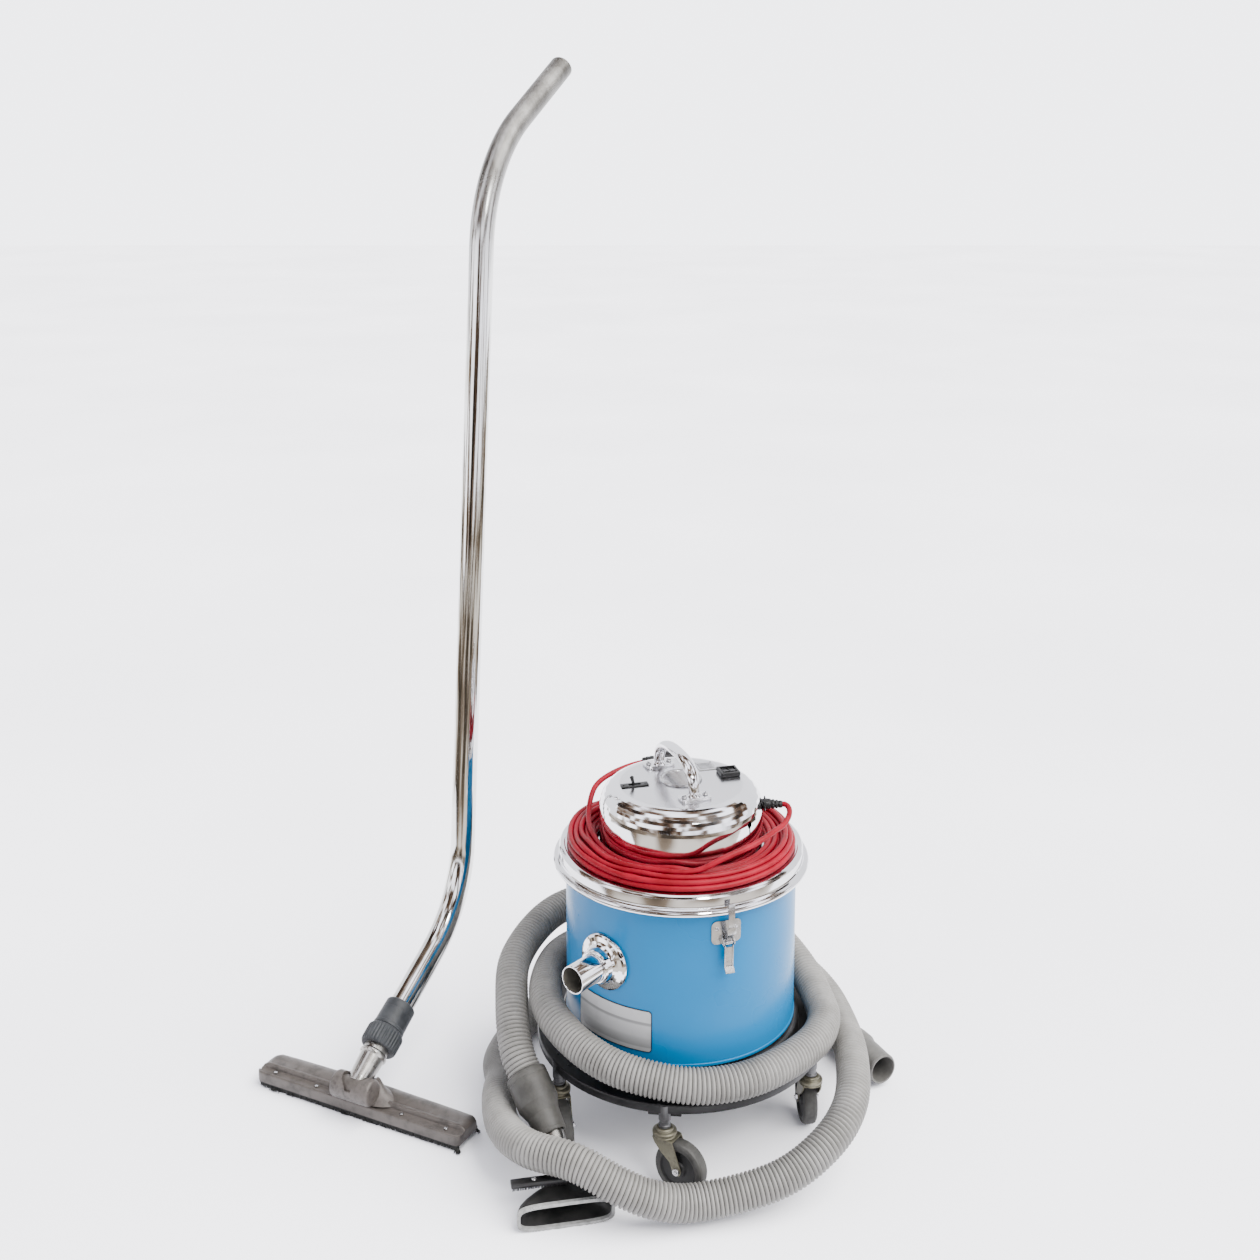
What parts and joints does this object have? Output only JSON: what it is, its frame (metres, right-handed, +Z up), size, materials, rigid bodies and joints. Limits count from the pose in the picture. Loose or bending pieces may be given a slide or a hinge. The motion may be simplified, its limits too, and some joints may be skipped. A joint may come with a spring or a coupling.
{
  "type": "canister vacuum cleaner",
  "caption": "Wet and dry canister vacuum: steel drum on a caster dolly, chrome powerhead with a wound cord, ribbed hose, hand tool, S-shaped wand and floor tool.",
  "frame": {"origin": "on the floor, below the centre of the box round everything but the hose, hand tool and power cord", "axes": "+Z up; +Y away from the side the latch, nameplate and inlet face; +X to the right seen from that side"},
  "size_m": [0.954, 0.84, 1.5228],
  "materials": {
    "tray_black": "satin black enamel",
    "zinc": "olive zinc plate",
    "wheel_rubber": "worn grey rubber",
    "blue_paint": "gloss blue enamel",
    "chrome": "polished",
    "white_plate": "white with a grey band, blank",
    "steel": "bright",
    "seal_rubber": "matte black",
    "black_plastic": "satin",
    "filter_cloth": "pleated cloth",
    "cord_red": "satin red jacket",
    "hose_vinyl": "ribbed light grey vinyl",
    "cuff_vinyl": "dark grey vinyl",
    "pale_rim": "pale grey",
    "cast_aluminium": "worn, brown-grey",
    "bristle": "black bristle"
  },
  "bodies": {
    "base": {"dolly_tray": "tray_black", "hose": "hose_vinyl", "tool_cuff": "cuff_vinyl", "machine_cuff": "cuff_vinyl", "tool_neck": "chrome", "hand_tool": "cuff_vinyl", "tool_rim": "pale_rim", "tool_brush": "black_plastic", "brush_screw": "steel"},
    "drum": {"drum_shell": "blue_paint", "inlet_flange": "chrome", "inlet_pipe": "chrome", "nameplate": "white_plate", "latch_base_1": "steel", "latch_base_2": "steel"},
    "head": {"lid": "chrome", "lid_gasket": "seal_rubber", "dome": "chrome", "vent_grille": "chrome", "toggle_plate": "black_plastic", "rocker_bezel": "black_plastic", "rating_plate": "steel", "handle": "chrome", "handle_screw_1": "steel", "handle_screw_2": "steel", "handle_screw_3": "steel", "handle_screw_4": "steel", "strain_relief": "black_plastic", "motor": "steel", "fan_housing": "steel", "filter_cup": "filter_cloth", "float_cage": "steel", "cord_coil": "cord_red", "cord_lead": "cord_red", "plug": "black_plastic"},
    "toggle": {"toggle_lever": "steel"},
    "rocker_a": {"rocker_1": "black_plastic"},
    "rocker_b": {"rocker_2": "black_plastic"},
    "hook_1": {"latch_hook_1": "steel"},
    "hook_2": {"latch_hook_2": "steel"},
    "lever_1": {"latch_lever_1": "steel"},
    "lever_2": {"latch_lever_2": "steel"},
    "floor_tool": {"floor_body": "cast_aluminium", "bristles_front": "bristle", "bristles_rear": "bristle"},
    "neck": {"floor_neck": "chrome", "wand_collar": "cuff_vinyl"},
    "nut": {"collar_nut": "black_plastic"},
    "wand": {"wand_tube": "chrome"},
    "caster_1": {"caster_fork_1": "zinc"},
    "wheel_1": {"caster_wheel_1": "wheel_rubber"},
    "caster_2": {"caster_fork_2": "zinc"},
    "wheel_2": {"caster_wheel_2": "wheel_rubber"},
    "caster_3": {"caster_fork_3": "zinc"},
    "wheel_3": {"caster_wheel_3": "wheel_rubber"},
    "caster_4": {"caster_fork_4": "zinc"},
    "wheel_4": {"caster_wheel_4": "wheel_rubber"},
    "caster_5": {"caster_fork_5": "zinc"},
    "wheel_5": {"caster_wheel_5": "wheel_rubber"}
  },
  "joints": [
    {"name": "drum_lift", "type": "slide", "parent": "base", "child": "drum", "axis": [0, 0, 1], "range_m": [0, 0.1]},
    {"name": "head_lift", "type": "slide", "parent": "drum", "child": "head", "axis": [0, 0, 1], "range_m": [0, 0.12]},
    {"name": "hook_1_swing", "type": "hinge", "parent": "drum", "child": "hook_1", "pos_m": [0.27064, -0.30657, 0.334], "axis": [0.9397, 0.342, 0], "range_deg": [0, 36]},
    {"name": "lever_1_swing", "type": "hinge", "parent": "drum", "child": "lever_1", "pos_m": [0.27064, -0.30657, 0.334], "axis": [-0.9397, -0.342, 0], "range_deg": [0, 71]},
    {"name": "hook_2_swing", "type": "hinge", "parent": "drum", "child": "hook_2", "pos_m": [0.15196, 0.01951, 0.334], "axis": [-0.9397, -0.342, 0], "range_deg": [0, 36]},
    {"name": "lever_2_swing", "type": "hinge", "parent": "drum", "child": "lever_2", "pos_m": [0.15196, 0.01951, 0.334], "axis": [0.9397, 0.342, 0], "range_deg": [0, 71]},
    {"name": "caster_1_swivel", "type": "hinge", "parent": "base", "child": "caster_1", "pos_m": [0.18506, -0.34281, 0.088], "axis": [0, 0, 1], "continuous": true},
    {"name": "wheel_1_spin", "type": "hinge", "parent": "caster_1", "child": "wheel_1", "pos_m": [0.20711, -0.35659, 0.037], "axis": [0.5299, 0.848, 0], "continuous": true},
    {"name": "caster_2_swivel", "type": "hinge", "parent": "base", "child": "caster_2", "pos_m": [0.03811, -0.24555, 0.088], "axis": [0, 0, 1], "continuous": true},
    {"name": "wheel_2_spin", "type": "hinge", "parent": "caster_2", "child": "wheel_2", "pos_m": [0.0444, -0.27078, 0.037], "axis": [0.9703, 0.2419, 0], "continuous": true},
    {"name": "caster_3_swivel", "type": "hinge", "parent": "base", "child": "caster_3", "pos_m": [0.39492, -0.22528, 0.088], "axis": [0, 0, 1], "continuous": true},
    {"name": "wheel_3_spin", "type": "hinge", "parent": "caster_3", "child": "wheel_3", "pos_m": [0.3922, -0.19942, 0.037], "axis": [-0.9945, -0.1045, 0], "continuous": true},
    {"name": "caster_4_swivel", "type": "hinge", "parent": "base", "child": "caster_4", "pos_m": [0.32944, 0.01908, 0.088], "axis": [0, 0, 1], "continuous": true},
    {"name": "wheel_4_spin", "type": "hinge", "parent": "caster_4", "child": "wheel_4", "pos_m": [0.30952, 0.03579, 0.037], "axis": [-0.6428, -0.766, 0], "continuous": true},
    {"name": "caster_5_swivel", "type": "hinge", "parent": "base", "child": "caster_5", "pos_m": [0.0768, 0.00584, 0.088], "axis": [0, 0, 1], "continuous": true},
    {"name": "wheel_5_spin", "type": "hinge", "parent": "caster_5", "child": "wheel_5", "pos_m": [0.0555, -0.00907, 0.037], "axis": [0.5736, -0.8192, 0], "continuous": true},
    {"name": "toggle_flip", "type": "hinge", "parent": "head", "child": "toggle", "pos_m": [0.1448, -0.15403, 0.4875], "axis": [-0.2504, 0.9681, 0], "range_deg": [0, 28]},
    {"name": "rocker_a_press", "type": "hinge", "parent": "head", "child": "rocker_a", "pos_m": [0.2803, -0.11253, 0.4955], "axis": [0.9681, 0.2504, 0], "range_deg": [0, 11]},
    {"name": "rocker_b_press", "type": "hinge", "parent": "head", "child": "rocker_b", "pos_m": [0.2803, -0.11253, 0.4955], "axis": [0.9681, 0.2504, 0], "range_deg": [0, 11]},
    {"name": "tool_lift", "type": "slide", "parent": "base", "child": "floor_tool", "axis": [0, 0, 1], "range_m": [0, 0.25]},
    {"name": "neck_tilt", "type": "hinge", "parent": "floor_tool", "child": "neck", "pos_m": [-0.2587, -0.19653, 0.0478], "axis": [0.8942, -0.4478, 0], "range_deg": [-4, 45]},
    {"name": "nut_turn", "type": "hinge", "parent": "neck", "child": "nut", "pos_m": [-0.22753, -0.13429, 0.08559], "axis": [0.3935, 0.7858, 0.4772], "continuous": true},
    {"name": "wand_pull", "type": "slide", "parent": "neck", "child": "wand", "axis": [0.3935, 0.7858, 0.4772], "range_m": [0, 0.1]}
  ],
  "couplings": [
    {"joint": "hook_1_swing", "follows": "head_lift", "rad_per_m": 5.13},
    {"joint": "lever_1_swing", "follows": "head_lift", "rad_per_m": 10.18},
    {"joint": "hook_2_swing", "follows": "head_lift", "rad_per_m": 5.13},
    {"joint": "lever_2_swing", "follows": "head_lift", "rad_per_m": 10.18}
  ]
}
